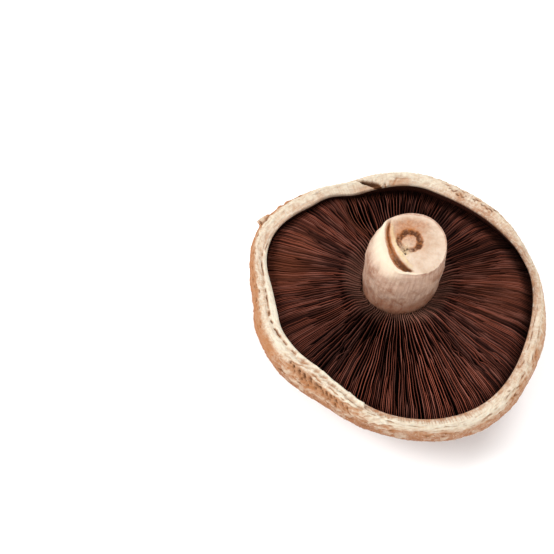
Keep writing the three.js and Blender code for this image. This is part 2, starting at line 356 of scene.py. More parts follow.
# Short cracks along the margin, most of them at the upper right, and a long one at the right.
CRACKS = (
    (66.6, -1.2, 0.7, 0.22, -20), (65.2, -1.6, 0.8, 0.26, 20), (63.8, -1.2, 0.8, 0.30, -30),
    (62.4, -2.2, 0.8, 0.30, 10), (61.2, -1.6, 0.7, 0.30, 35), (60.0, -2.1, 0.9, 0.26, -15), (58.8, -1.3, 0.5, 0.22, 0),
    (55.4, -0.9, 0.5, 0.30, 0), (54.4, -1.3, 0.5, 0.26, 40), (51.0, -0.9, 0.7, 0.34, 30), (49.6, -0.5, 0.9, 0.38, -30),
    (48.2, -1.1, 0.8, 0.34, 10), (46.8, -0.3, 1.0, 0.30, -20), (45.6, -0.8, 0.7, 0.28, 20),
    (47.4, 1.6, 1.0, 0.30, -10), (45.4, 1.4, 0.6, 0.26, 20), (67.0, 2.0, 2.0, 0.14, 2), (61.0, 2.1, 2.6, 0.14, -3),
    (55.0, 1.8, 2.4, 0.14, 3), (39.6, 1.6, 2.6, 0.16, -2), (33.0, 1.2, 2.4, 0.14, 4), (28.0, 1.6, 1.4, 0.2, 0),
    (23.0, 1.3, 1.6, 0.16, 6), (16.0, 1.6, 2.2, 0.14, -4), (347.0, -2.9, 3.6, 0.16, 2), (340.0, -2.7, 3.0, 0.18, -2),
    (334.4, -2.5, 1.8, 0.16, 4), (353.6, -2.4, 1.8, 0.14, -6), (326.9, -2.1, 1.3, 0.2, 10),
    (324.6, -2.9, 0.8, 0.2, 60), (313.8, -0.4, 0.9, 0.22, 60), (333.0, 3.6, 1.2, 0.34, 50), (329.6, 4.4, 1.0, 0.3, 30),
    (322.6, 3.4, 0.9, 0.3, 70), (318.8, 3.0, 1.1, 0.28, 40), (315.6, 4.6, 1.4, 0.36, 50), (313.4, 4.0, 1.2, 0.32, 70),
    (310.4, 3.4, 0.9, 0.26, 40), (144.6, 2.5, 1.8, 0.30, -4), (147.4, 3.0, 0.8, 0.26, 30), (110.2, 4.2, 1.4, 0.22, 12),
    (132.4, 2.2, 1.6, 0.18, 4), (129.6, 2.8, 1.8, 0.20, -6), (136.6, 3.2, 1.0, 0.24, 10), (121.0, 2.4, 2.4, 0.14, 3),
    (156.4, -3.6, 1.8, 0.22, 10), (160.6, 2.4, 0.5, 0.24, 0), (163.6, 2.0, 0.5, 0.22, 30), (166.2, 3.0, 0.4, 0.2, 0),
    (221.6, 5.4, 3.4, 0.16, 2), (253.0, -2.6, 0.8, 0.35, 70), (256.0, 0.4, 2.2, 0.14, -4), (264.0, 1.0, 3.0, 0.14, 3),
    (275.0, 1.2, 3.4, 0.14, -2), (287.0, 1.4, 2.4, 0.14, 4), (312.0, 1.0, 1.6, 0.20, -12), (318.0, 2.0, 1.2, 0.20, 16),
)
crack_field = grain(on_rim * (0.36, 0.36, 1.25), 1.15, 2, 11.0)
crack_zone = 0.55 * sector(38, 46, 64, 70) * band(out, -1.2, 0.9, 0.9) \
    + 0.5 * sector(304, 312, 336, 346) * band(out, 3.0, 2.0, 1.6) \
    + 0.55 * sector(120, 128, 190, 200) * band(out, 3.0, 1.5, 1.5) \
    + 0.4 * band(out, 4, 4, 3) + 0.5 * skin_zone * smooth(60, 40, out)
cracks = np.clip(crack_zone, 0, 1) * smooth(0.34, 0.56, crack_field)
cracks = np.clip(cracks + sum(stroke(*mark) for mark in CRACKS), 0, 1)

# Ragged pale scales where the skin breaks up towards the margin.
scale_field = grain(on_rim * (1.0, 1.0, 0.75), 2.8, 4, 13.0) + 0.35 * grain(on_rim * (1, 1, 0.6), 9.0, 2, 15.0)
scales = smooth(0.12, 0.30, scale_field) * smooth(5, 9, out) * smooth(26, 12, out)

# All of the relief in mm, outwards from the smooth cap, which fades where the cap rests and under the gills.
roll = strip_reach * (band(out, strip_edge - 1.2, 0.5, 1.0) - 0.8 * band(out, strip_edge + 0.3, 0.2, 0.7)) \
    * (0.5 + 0.5 * arc(round_grid, 200, 252, 12))
relief = -0.3 + lumps + wrinkles + fibres + pores + ragged + strip_end + bits + flake_height + sum(
    high * form for high, form in (
        (0.34, folds), (0.25, strip), (-0.5, strip_gap), (0.45, roll), (-0.5, trough), (-0.80, slits),
        (0.40, ridges), (-0.25, seam), (0.3, seam_side), (-0.28, lines), (-0.05, flap), (-2.2, tear),
        (-1.2, notch), (0.9, tips), (-0.45, fold), (-0.5, under), (-0.38, cracks), (0.16, scales)))
relief = relief * smooth(0.2, 1.6, cap_points[..., 2]) * smooth(stops[-1] - 7.5, stops[-1] - 9.0, stops)[:, None] ** 0.5
cap_points = cap_points + cap_normals * relief[..., None]
cap_points[..., 2] = np.maximum(cap_points[..., 2], 0)

cap = grid_mesh("cap", cap_points, (0, 0, 0), (0, 0, FLOOR_Z - 0.5))
keep(cap, "out", out, [along[0], along[-1]])
keep(cap, "rim", on_rim, [(0, 0, along[0]), (0, 0, along[-1])])


def blend(*shares):
    """Adds up masks, each with its share, and keeps the sum between 0 and 1."""
    return np.clip(sum(share * mask for share, mask in shares), 0, 1)


# Where the skin is dark: painted shade in gaps and grooves and under lifted bits, with the dark brown of cracks and
# slits; tan where it is bruised or worn; pale where the veil or a scale lies, with one painted highlight at the lower
# left; and painted shade in the hollow behind the lip.
dark = blend((0.72, strip_gap), (0.72, slits), (0.35, seam), (0.35, lines), (1.4, tear), (0.6, notch), (0.8, under),
             (0.85, cracks))
keep(cap, "dark", dark, [0, 0])
stains = sum(stroke(*mark) for mark in (
    (332.0, 3.4, 3.0, 1.2, 20), (320.0, 3.6, 3.0, 1.2, 10), (299.0, 4.6, 4.0, 1.4, 0), (228.0, 4.8, 5.0, 1.4, 0),
    (240.0, 4.6, 5.0, 1.6, 0), (62.0, -1.8, 2.2, 0.8, 0), (48.0, -0.8, 2.4, 0.8, 0), (334.0, 3.6, 2.6, 1.6, 10),
    (313.5, 3.7, 2.0, 1.4, -10), (276.0, 5.0, 4.0, 1.6, 4), (285.0, 4.4, 3.0, 1.2, 0), (265.0, 6.0, 3.0, 1.4, 0),
    (346.0, 6.0, 2.6, 1.2, 0), (159.0, 3.0, 3.0, 1.5, 0), (168.0, 4.2, 4.0, 1.6, 6)))
left_skin = sector(128, 138, 190, 214) * smooth(0.5, 3.5, out) * smooth(20, 9, out) \
    * (1.1 + 1.0 * grain(on_rim * (0.6, 0.6, 0.8), 3.0, 2, 61.0)) * (1 - np.clip(2 * flake, 0, 1) * smooth(7, 5, out))
specks = smooth(0.16, 0.42, grain(on_rim, 1.1, 2, 95.0)) * sector(128, 138, 200, 216) \
    * smooth(-0.5, 2.5, out) * smooth(20, 9, out)
marks = np.clip(dark + np.maximum(0.48 * specks, 0.40 * np.clip(left_skin, 0, 1)), 0, 1)
between_folds = np.clip(-folds - 0.1, 0, 1) * (1 - 0.6 * arc(round_grid, 300, 342, 8))
tan = blend(
    (1.5, marks), (-0.6, cracks), (0.7, between_folds), (0.9, trough), (0.5, seam), (0.9, fold), (0.6, stains),
    (0.45, flap * smooth(113, 105, degrees) * smooth(-1.0, -3.0, out)), (1.25, left_skin),
    (0.2, sector(200, 215, 240, 262) * smooth(0, 4, out)), (0.15, sector(300, 312, 338, 350) * smooth(-4, -1, out)),
    (0.20, sector(158, 168, 200, 212) * smooth(0.5, 2.0, out)),
    (0.6, sector(82, 86, 92.4, 93.4) * smooth(-2.0, -2.8, out)))
keep(cap, "tan", tan, [0, 0])
# A painted highlight: a bright spot on the margin at the lower left.
painted_highlight_left = np.exp(-((degrees - 205) / 7) ** 2 - ((out + 0.9) / 1.7) ** 2)
pale = blend(
    (1.05, strip), (0.34, scales), (0.1, flap), (0.5, sector(60, 80, 112, 128) * smooth(5, 0, out)),
    (0.25, sector(112, 122, 156, 166) * smooth(3.6, 1.8, out)),
    (0.6, sector(250, 262, 306, 326) * band(out, 1.2, 2.4, 2.0)), (1.2, painted_highlight_left),
    (0.9, flake * band(out, 4.0, 1.2, 0.5)), (0.6, ridges), (0.5, seam_side), (0.9, np.clip(folds, 0, 1)))
keep(cap, "pale", pale * (1 - marks), [0, 0])
# Painted shade: the hollow behind the lip, under the curled margin, is coloured near black, and it reaches further
# towards the crest at the upper right.
hollow_shade_from = lip_out - 0.7 + 1.1 * arc(round_grid, -30, 88, 12)
keep(cap, "hollow", smooth(hollow_shade_from, hollow_shade_from - 0.9, out), [0, 1])


def colour(code):
    """An sRGB hex colour as linear red, green, blue and 1."""
    parts = [int(code[i:i + 2], 16) / 255 for i in (1, 3, 5)]
    return (*[p / 12.92 if p <= 0.04045 else ((p + 0.055) / 1.055) ** 2.4 for p in parts], 1.0)


def add(tree, kind, inputs=(), **settings):
    """Adds a node with its settings. inputs maps a socket to a value, a socket or a node that feeds it."""
    made = tree.nodes.new(kind)
    for key, value in settings.items():
        if key == "stops":
            ramp = made.color_ramp
            while len(ramp.elements) < len(value):
                ramp.elements.new(1.0)
            for element, (place, shade) in zip(ramp.elements, value):
                element.position, element.color = place, shade
        else:
            setattr(made, key, value)
    for key, value in dict(inputs).items():
        if isinstance(value, bpy.types.Node):
            value = next(o for o in value.outputs if o.enabled)
        if isinstance(value, bpy.types.NodeSocket):
            tree.links.new(value, made.inputs[key])
        else:
            made.inputs[key].default_value = value
    return made


def new_finish(name):
    """A new material, its empty node tree, and the place on the piece in mm."""
    made = bpy.data.materials.new(name)
    made.use_nodes = True
    made.node_tree.nodes.clear()
    place = add(made.node_tree, "ShaderNodeVectorMath", {
        0: add(made.node_tree, "ShaderNodeTexCoord").outputs["Object"], 3: 1 / MM}, operation="SCALE")
    return made, made.node_tree, place


def lay_over(tree, base, layers):
    """Lays shades over a base. Each has what drives it, where that starts and is full, its most, and what limits it."""
    for shade, value, start, full, most, *limits in layers:
        share = add(tree, "ShaderNodeMapRange", {"Value": value, "From Min": start, "From Max": full, "To Max": most})
        for limit in limits:
            share = add(tree, "ShaderNodeMath", {0: share, 1: limit}, operation="MULTIPLY")
        base = add(tree, "ShaderNodeMix", {
            0: share, 6: base, 7: colour(shade) if isinstance(shade, str) else shade}, data_type="RGBA")
    return base


# Portobello skin and flesh: cream and slightly waxy on the margin, dry brown felt outside.
# Roughness of dry skin is about 0.7; the flesh lets a little light through.
skin, tree, place = new_finish("portobello_skin_and_flesh")
rim = add(tree, "ShaderNodeAttribute", attribute_name="rim").outputs["Vector"]
out_value, gap_shade_and_cracks_value, pale_value, tan_value, hollow_shade_value = (
    add(tree, "ShaderNodeAttribute", attribute_name=name).outputs["Fac"]
    for name in ("out", "dark", "pale", "tan", "hollow"))
blotch, speck, pits, along_rim, across_rim, tone = (
    add(tree, "ShaderNodeTexNoise", {
        "Vector": add(tree, "ShaderNodeVectorMath", {0: on, 1: stretch}, operation="MULTIPLY"),
        "Scale": 1.0, "Detail": detail, "Roughness": rough})
    for on, stretch, detail, rough in (
        (place, (1 / 7, 1 / 7, 1 / 7), 4, 0.6), (place, (1.1, 1.1, 1.1), 3, 0.7), (place, (0.85, 0.85, 0.85), 2, 0.65),
        (rim, (0.22, 0.22, 1.5), 4, 0.6), (rim, (1.3, 1.3, 0.12), 3, 0.55), (rim, (0.45, 0.45, 0.8), 5, 0.65)))
shifted = out_value  # the shades keep to no even line round the cap
for field, sway in ((blotch, 6.0), (along_rim, 5.0)):
    shifted = add(tree, "ShaderNodeMath", {
        0: add(tree, "ShaderNodeMath", {0: field, 1: sway, 2: -sway / 2}, operation="MULTIPLY_ADD"), 1: shifted},
        operation="ADD")
# The darkest stops, at and inside the lip, are painted shade under the curl; the browns further out are the skin's own
# colour.
SKIN_TONES_AND_LIP_SHADE = [  # distance out from the crest in mm, and the colour there
    (-6.5, "#5f4034"), (-4.8, "#91705c"), (-3.2, "#b2937c"), (-1.6, "#c7b6a2"), (0.6, "#cbbda8"),
    (2.8, "#bc9c80"), (5.5, "#a47d62"), (10.0, "#8c5a3a"), (22.0, "#7e4a28"), (40.0, "#734020"),
]
SHADES_FROM, SHADES_TO = -8.0, 42.0
base = add(tree, "ShaderNodeValToRGB", {
    "Fac": add(tree, "ShaderNodeMapRange", {"Value": shifted, "From Min": SHADES_FROM, "From Max": SHADES_TO})},
    stops=[((mm - SHADES_FROM) / (SHADES_TO - SHADES_FROM), colour(code)) for mm, code in SKIN_TONES_AND_LIP_SHADE])
off_the_lip = add(tree, "ShaderNodeMapRange", {"Value": out_value, "From Min": -3.0, "From Max": 4.0, "To Min": 0.25})
near_margin = add(tree, "ShaderNodeMapRange", {"Value": out_value, "From Min": 12.0, "From Max": 4.0, "To Min": 0.25})
base = lay_over(tree, base, (
    ("#8c5836", across_rim, 0.4, 0.75, 0.45), ("#d9c8b2", speck, 0.54, 0.72, 0.55),
    ("#84512f", pits, 0.56, 0.66, 0.62, off_the_lip), ("#a8784f", tone, 0.50, 0.66, 0.45),
    ("#d5ccba", tone, 0.48, 0.34, 0.5, near_margin), ("#d3cbb8", pale_value, 0, 1, 0.88),
    # Then tan, the mask of painted shade with dark cracks, and last the painted shade in the hollow behind the lip.
    ("#9c6336", tan_value, 0, 1, 0.75), ("#442410", gap_shade_and_cracks_value, 0.25, 1, 0.92), ("#34170f", hollow_shade_value, 0, 1, 1)))
bumps = add(tree, "ShaderNodeMath", {
    0: add(tree, "ShaderNodeMath", {0: speck, 1: 0.6}, operation="MULTIPLY"),
    1: add(tree, "ShaderNodeMath", {0: along_rim, 1: 0.8}, operation="MULTIPLY")}, operation="ADD")
surface = add(tree, "ShaderNodeBsdfPrincipled", {
    "Base Color": base, "Roughness": 0.62, "IOR": 1.4, "Specular IOR Level": 0.15, "Subsurface Weight": 0.12,
    "Subsurface Radius": (1.0, 0.6, 0.35), "Subsurface Scale": 0.0015,
    "Normal": add(tree, "ShaderNodeBump", {"Height": bumps, "Strength": 0.9, "Distance": 0.0007})})
add(tree, "ShaderNodeOutputMaterial", {"Surface": surface})
cap.data.materials.append(skin)
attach(cap, "root")
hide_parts("cap_and_stem")


# The gills: thin soft blades, dark brown with ripe spores, that run out from the stem.
# Full ones reach the stem, and two tiers of shorter ones fill the gaps towards the margin.
STEM_FOOT = (-0.4, 9.8)
GILL_INNER = 13.8
GILL_COUNT = 440
GILL_THICK = 0.34
GILL_TOP = 28.2
GILL_ROOT = 19.6
GILL_CLEAR = 0.5
OUTLINE_STEPS = 288


def reach(angle, curve):
    """How far a curve round the cap's axis is from the stem's centre, in each direction."""
    far = np.full_like(angle, 50.0)
    for _ in range(12):
        x, y = STEM_FOOT[0] + far * np.cos(angle), STEM_FOOT[1] + far * np.sin(angle)
        far = far + curve(np.arctan2(y, x)) - np.hypot(x, y)
    return far


angle = np.arange(OUTLINE_STEPS) / OUTLINE_STEPS * 2 * math.pi
edge = reach(angle, wall_radius) - GILL_CLEAR
edge_x, edge_y = STEM_FOOT[0] + edge * np.cos(angle), STEM_FOOT[1] + edge * np.sin(angle)
edge_at = np.arctan2(edge_y, edge_x)
overhung = arc(edge_at, -25, 88, 30)  # here the margin hangs over a deeper hollow
ceiling = crest_height(edge_at) - LIP_DROP - 3.0 - 2.8 * overhung
outline = bpy.data.meshes.new("gill_blades")
outline.from_pydata((np.stack([edge_x, edge_y, ceiling], -1) * MM).tolist(),
                    [(i, (i + 1) % OUTLINE_STEPS) for i in range(OUTLINE_STEPS)], [])
gills = put("gill_blades", outline)

# Gill tissue: painted almost black low on the blades as shade in the gaps, rising to a paler dry edge that is partly
# painted highlight where it catches the light.
# Roughness of a dry spore-dusted blade is about 0.8.
tissue, tree, place = new_finish("portobello_gills")
up_value, near_value, rub_value, streak_value, glint_value, tone_value, painted_gill_shade_value = (
    add(tree, "ShaderNodeAttribute", attribute_name=name).outputs["Fac"]
    for name in ("up", "near", "rub", "streak", "glint", "tone", "dim"))
patch = add(tree, "ShaderNodeTexNoise", {"Vector": place, "Scale": 1 / 9, "Detail": 4.0, "Roughness": 0.6})
dust = add(tree, "ShaderNodeTexNoise", {"Vector": place, "Scale": 1.4, "Detail": 2.0, "Roughness": 0.6})
at_top, at_very_top = (add(tree, "ShaderNodeMath", {0: up_value, 1: power}, operation="POWER") for power in (3.0, 4.0))
shade = add(tree, "ShaderNodeValToRGB", {"Fac": up_value}, stops=[
    (0.0, colour("#1e0b07")), (0.88, colour("#27100a")), (0.965, colour("#4e2318")), (1.0, colour("#9a5340"))])
# Over it lie random patches, streaks and tones, painted glints on the top edges, rubbed places, paler tops near the
# stem, and painted gill shade last.
shade = lay_over(tree, shade, (
    ("#6a3423", patch, 0.42, 0.66, 0.36), ("#1d0d08", streak_value, 0.54, 0.36, 0.62),
    ("#2b120d", tone_value, 0.80, 0.0, 1.0), ("#a5695a", glint_value, 0.51, 0.66, 0.5, at_top),
    ("#86482f", rub_value, 0, 1, 0.55), ("#ab7c6a", near_value, 8.0, 0.0, 0.82, at_very_top),
    ("#160705", painted_gill_shade_value, 0, 1, 0.8)))
surface = add(tree, "ShaderNodeBsdfPrincipled", {
    "Base Color": shade, "Roughness": 0.8, "IOR": 1.4, "Specular IOR Level": 0.12,
    "Normal": add(tree, "ShaderNodeBump", {"Height": dust, "Strength": 0.4, "Distance": 0.0002})})
add(tree, "ShaderNodeOutputMaterial", {"Surface": surface})

# The blades stand on the outline of the gill bed, one after another, and bend together.
blades = bpy.data.node_groups.new("radiating_gills", "GeometryNodeTree")
blades.interface.new_socket("Geometry", in_out="INPUT", socket_type="NodeSocketGeometry")
blades.interface.new_socket("Geometry", in_out="OUTPUT", socket_type="NodeSocketGeometry")
GILL_INPUTS = {
    "Count": ("NodeSocketInt", GILL_COUNT), "Inner radius": ("NodeSocketFloat", GILL_INNER * MM),
    "Thickness": ("NodeSocketFloat", GILL_THICK * MM), "Root level": ("NodeSocketFloat", GILL_ROOT * MM),
    "Top level": ("NodeSocketFloat", GILL_TOP * MM), "Centre": ("NodeSocketVector", (*(c * MM for c in STEM_FOOT), 0)),
    "Wave": ("NodeSocketFloat", 0.9 * MM), "Lean": ("NodeSocketFloat", 0.35 * MM),
    "Seed": ("NodeSocketInt", 7),
}
socket_id = {name: blades.interface.new_socket(name, in_out="INPUT", socket_type=kind).identifier
             for name, (kind, _) in GILL_INPUTS.items()}
given = add(blades, "NodeGroupInput").outputs
index = add(blades, "GeometryNodeInputIndex")
jitter = add(blades, "FunctionNodeRandomValue", {2: -0.16, 3: 0.16, "Seed": given["Seed"]}, data_type="FLOAT")
factor = add(blades, "ShaderNodeMath", {
    0: add(blades, "ShaderNodeMath", {0: index, 1: jitter.outputs[1]}, operation="ADD"), 1: given["Count"]},
    operation="DIVIDE")
factor = add(blades, "ShaderNodeMath", {0: factor, 1: 1.0, 2: 0.0}, operation="WRAP")
sample = add(blades, "GeometryNodeSampleCurve", {
    0: add(blades, "GeometryNodeMeshToCurve", {0: given["Geometry"]}), "Factor": factor}, mode="FACTOR")
# Every fourth gill runs in to the stem, the one between starts further out, and the rest near the margin.
step = add(blades, "ShaderNodeMath", {0: index, 1: 4.0}, operation="MODULO")
is_full = add(blades, "ShaderNodeMath", {0: step, 1: 0.5}, operation="LESS_THAN")
is_middle = add(blades, "ShaderNodeMath", {0: step, 1: 2.0, 2: 0.1}, operation="COMPARE")
tier = add(blades, "ShaderNodeMath", {
    0: add(blades, "ShaderNodeMath", {0: 2.0, 1: is_middle}, operation="SUBTRACT"),
    1: add(blades, "ShaderNodeMath", {0: is_full, 1: 2.0}, operation="MULTIPLY")}, operation="SUBTRACT")
dots = add(blades, "GeometryNodePoints", {"Count": given["Count"], "Position": sample.outputs["Position"]})
spare, tint, tone = (
    add(blades, "FunctionNodeRandomValue", {2: 0.0, 3: 1.0, "Seed": seed}, data_type="FLOAT").outputs[1]
    for seed in (3, 11, 23))
# One in twenty of the shortest gills never grew.
few = add(blades, "FunctionNodeCompare", {
    0: add(blades, "ShaderNodeMath", {0: spare, 1: tier}, operation="MULTIPLY"), 1: 1.9},
    data_type="FLOAT", operation="GREATER_THAN")
for name, value, kind in (("tier", tier, "INT"), ("far_end", add(blades, "GeometryNodeInputPosition"), "FLOAT_VECTOR"),
                          ("tint", tint, "FLOAT"), ("tone", tone, "FLOAT")):
    dots = add(blades, "GeometryNodeStoreNamedAttribute", {0: dots, "Name": name, "Value": value},
               data_type=kind, domain="POINT")
dots = add(blades, "GeometryNodeDeleteGeometry", {0: dots, "Selection": few}, domain="POINT")
shapes = add(blades, "GeometryNodeGeometryToInstance")
BLADE_CUTS = [(36, 4), (30, 4), (17, 4)]  # points along and up a full, half and short gill
for points_along, points_up in reversed(BLADE_CUTS):
    block = add(blades, "GeometryNodeMeshCube", {
        "Size": (1.0, 1.0, 1.0), "Vertices X": points_along, "Vertices Y": 2, "Vertices Z": points_up})
    block = add(blades, "GeometryNodeStoreNamedAttribute", {
        0: block, "Name": "share", "Value": add(blades, "ShaderNodeVectorMath", {
            0: add(blades, "GeometryNodeInputPosition"), 1: (0.5, 0.0, 0.5)}, operation="ADD")},
        data_type="FLOAT_VECTOR", domain="POINT")
    blades.links.new(block.outputs[0], shapes.inputs[0])
stand = add(blades, "GeometryNodeInstanceOnPoints", {
    "Points": dots, "Instance": shapes, "Pick Instance": True,
    "Instance Index": add(blades, "GeometryNodeInputNamedAttribute", {"Name": "tier"}, data_type="INT")})
body = add(blades, "GeometryNodeRealizeInstances", {0: stand})
share, kept_tint, kept_tone, kept_tier, far_end = (
    add(blades, "GeometryNodeInputNamedAttribute", {"Name": name}, data_type=kind) for name, kind in (
        ("share", "FLOAT_VECTOR"), ("tint", "FLOAT"), ("tone", "FLOAT"), ("tier", "INT"), ("far_end", "FLOAT_VECTOR")))
u, side, v = add(blades, "ShaderNodeSeparateXYZ", {0: share}).outputs
is_short, is_shortest = (
    add(blades, "ShaderNodeMath", {0: kept_tier, 1: tiers}, operation="GREATER_THAN") for tiers in (0.5, 1.5))
spoke = add(blades, "ShaderNodeVectorMath", {
    0: add(blades, "ShaderNodeVectorMath", {0: far_end, 1: given["Centre"]}, operation="SUBTRACT"),
    1: (1.0, 1.0, 0.0)}, operation="MULTIPLY")
length = add(blades, "ShaderNodeVectorMath", {0: spoke}, operation="LENGTH").outputs["Value"]
direction = add(blades, "ShaderNodeVectorMath", {0: spoke}, operation="NORMALIZE")
# The gills at the front have dried apart, and those elsewhere still stand close and even.
CLOSE = 0.38  # how dried those are
dried = add(blades, "ShaderNodeMapRange", {
    "Value": add(blades, "ShaderNodeSeparateXYZ", {0: direction}).outputs["Y"],
    "From Min": -0.55, "From Max": -0.92, "To Min": CLOSE})
# How far from the stem's centre a gill starts: by its tier, and by chance within that.
by_chance = add(blades, "ShaderNodeMath", {0: kept_tint, 1: 2.0}, operation="POWER")
start = add(blades, "ShaderNodeMath", {
    0: given["Inner radius"], 1: add(blades, "ShaderNodeMath", {0: by_chance, 1: 1.0 * MM}, operation="MULTIPLY")},
    operation="ADD")
for shorter, nearest, close_far, dried_far in ((is_short, 16, 19, 32), (is_shortest, 24, 36, 48)):
    farthest = add(blades, "ShaderNodeMapRange", {
        "Value": dried, "From Min": CLOSE, "To Min": close_far * MM, "To Max": dried_far * MM})
    start = add(blades, "ShaderNodeMix", {
        0: shorter, 2: start,
        3: add(blades, "ShaderNodeMapRange", {"Value": kept_tint, "To Min": nearest * MM, "To Max": farthest})},
        data_type="FLOAT")
run = add(blades, "ShaderNodeMath", {
    0: add(blades, "ShaderNodeMath", {0: length, 1: start}, operation="SUBTRACT"), 1: 6 * MM},
    operation="MAXIMUM")
from_end = add(blades, "ShaderNodeMath", {
    0: add(blades, "ShaderNodeMath", {0: 1.0, 1: u}, operation="SUBTRACT"), 1: run}, operation="MULTIPLY")
from_tip = add(blades, "ShaderNodeMath", {0: u, 1: run}, operation="MULTIPLY")
distance = add(blades, "ShaderNodeMath", {0: length, 1: from_end}, operation="SUBTRACT")
from_stem = add(blades, "ShaderNodeMath", {0: distance, 1: given["Inner radius"]}, operation="SUBTRACT")
foot = add(blades, "ShaderNodeVectorMath", {
    0: add(blades, "ShaderNodeVectorMath", {0: direction, 3: distance}, operation="SCALE"),
    1: given["Centre"]}, operation="ADD")
across = add(blades, "ShaderNodeVectorMath", {0: direction, 1: (0.0, 0.0, -1.0)}, operation="CROSS_PRODUCT")
# The free edge: up from the stem, level in the middle, down to the margin's underside.
end_level = add(blades, "ShaderNodeSeparateXYZ", {0: far_end}).outputs["Z"]
short_rise = add(blades, "ShaderNodeMapRange", {
    "Value": dried, "From Min": CLOSE, "To Min": 7 * MM, "To Max": 13 * MM})
rise = add(blades, "ShaderNodeMapRange", {
    "Value": from_tip,
    "From Max": add(blades, "ShaderNodeMix", {0: is_short, 2: 7 * MM, 3: short_rise}, data_type="FLOAT")},
    interpolation_type="SMOOTHSTEP")
tip_level = add(blades, "ShaderNodeMix", {0: is_short, 2: 24.6 * MM, 3: 22.0 * MM}, data_type="FLOAT")
top_here = add(blades, "ShaderNodeMath", {
    0: given["Top level"],
    1: add(blades, "ShaderNodeMath", {
        0: add(blades, "ShaderNodeMath", {0: kept_tone, 1: 1.1 * MM, 2: -0.7 * MM}, operation="MULTIPLY_ADD"),
        1: dried}, operation="MULTIPLY")}, operation="ADD")
top_here = add(blades, "ShaderNodeMix", {0: rise, 2: tip_level, 3: top_here}, data_type="FLOAT")
fall_run = add(blades, "ShaderNodeMath", {
    0: add(blades, "ShaderNodeMath", {0: given["Top level"], 1: end_level}, operation="SUBTRACT"),
    1: 1.6, 2: 3 * MM}, operation="MULTIPLY_ADD")
fall = add(blades, "ShaderNodeMapRange", {"Value": from_end, "From Max": fall_run}, interpolation_type="SMOOTHSTEP")
top_here = add(blades, "ShaderNodeMix", {0: fall, 2: end_level, 3: top_here}, data_type="FLOAT")


def shared_noise(turns, run, detail, shift):
    """Noise over the gills: turns is its fineness from gill to gill, run its length along them in mm."""
    return add(blades, "ShaderNodeTexNoise", {
        "Vector": add(blades, "ShaderNodeVectorMath", {
            0: add(blades, "ShaderNodeVectorMath", {0: direction, 3: turns}, operation="SCALE"),
            1: add(blades, "ShaderNodeCombineXYZ", {
                "Z": add(blades, "ShaderNodeMath", {0: distance, 1: 1 / (run * MM), 2: shift},
                         operation="MULTIPLY_ADD")})}, operation="ADD"),
        "Scale": 1.0, "Detail": detail, "Roughness": 0.5})


def about_zero(value, size):
    """Centres noise on zero and gives it a size."""
    return add(blades, "ShaderNodeMath", {
        0: add(blades, "ShaderNodeMath", {0: value, 1: 0.5}, operation="SUBTRACT"), 1: size},
        operation="MULTIPLY")


# Neighbours share a slow wave and a lean of their free edges, which die out at both ends.
crest_ripple = add(blades, "ShaderNodeMath", {
    0: about_zero(shared_noise(16.0, 3.5, 2.0, 3.0), 1.0 * MM), 1: fall}, operation="MULTIPLY")
top_here = add(blades, "ShaderNodeMath", {0: top_here, 1: crest_ripple}, operation="ADD")
level = add(blades, "ShaderNodeMix", {0: v, 2: given["Root level"], 3: top_here}, data_type="FLOAT")
free = add(blades, "ShaderNodeMath", {
    0: add(blades, "ShaderNodeMapRange", {"Value": from_end, "From Max": 6 * MM}),
    1: add(blades, "ShaderNodeMapRange", {"Value": from_stem, "From Max": 8 * MM})}, operation="MULTIPLY")
sway = about_zero(shared_noise(4.0, 11.0, 2.0, 0.0), given["Wave"])
tilt = about_zero(shared_noise(13.0, 14.0, 2.0, 7.0), add(blades, "ShaderNodeMath", {
    0: given["Lean"], 1: v}, operation="MULTIPLY"))
own = about_zero(shared_noise(60.0, 5.0, 1.0, 11.0), add(blades, "ShaderNodeMath", {
    0: v, 1: 0.25 * MM}, operation="MULTIPLY"))
bend = add(blades, "ShaderNodeMath", {
    0: add(blades, "ShaderNodeMath", {
        0: add(blades, "ShaderNodeMath", {
            0: add(blades, "ShaderNodeMath", {0: tilt, 1: own}, operation="ADD"), 1: dried}, operation="MULTIPLY"),
        1: sway}, operation="ADD"),
    1: free}, operation="MULTIPLY")
thin = add(blades, "ShaderNodeMapRange", {"Value": v, "To Min": 1.0, "To Max": 0.42})
skewed = add(blades, "ShaderNodeMath", {
    0: add(blades, "ShaderNodeMath", {0: side, 1: given["Thickness"]}, operation="MULTIPLY"), 1: thin},
    operation="MULTIPLY")
aside = add(blades, "ShaderNodeMath", {0: skewed, 1: bend}, operation="ADD")
spot = add(blades, "ShaderNodeVectorMath", {
    0: add(blades, "ShaderNodeVectorMath", {0: foot, 1: (1.0, 1.0, 0.0)}, operation="MULTIPLY"),
    1: add(blades, "ShaderNodeVectorMath", {0: across, 3: aside}, operation="SCALE")}, operation="ADD")
spot = add(blades, "ShaderNodeVectorMath", {
    0: spot, 1: add(blades, "ShaderNodeCombineXYZ", {"Z": level})}, operation="ADD")
for name, value in (("up", v), ("near", add(blades, "ShaderNodeMath", {0: from_stem, 1: 1 / MM}, operation="MULTIPLY")),
                    ("streak", shared_noise(9.0, 40.0, 3.0, 19.0)), ("glint", shared_noise(150.0, 12.0, 1.0, 31.0))):
    body = add(blades, "GeometryNodeStoreNamedAttribute", {0: body, "Name": name, "Value": value},
               data_type="FLOAT", domain="POINT")
body = add(blades, "GeometryNodeSetPosition", {0: body, "Position": spot})
body = add(blades, "GeometryNodeRealizeInstances", {0: body})
body = add(blades, "GeometryNodeSetMaterial", {0: body, "Material": tissue})
add(blades, "NodeGroupOutput", {0: body})

grow = gills.modifiers.new("grow", "NODES")
grow.node_group = blades
for name, (_, value) in GILL_INPUTS.items():
    grow[socket_id[name]] = value
made = bpy.data.meshes.new_from_object(gills.evaluated_get(bpy.context.evaluated_depsgraph_get()))
gills.modifiers.remove(grow)

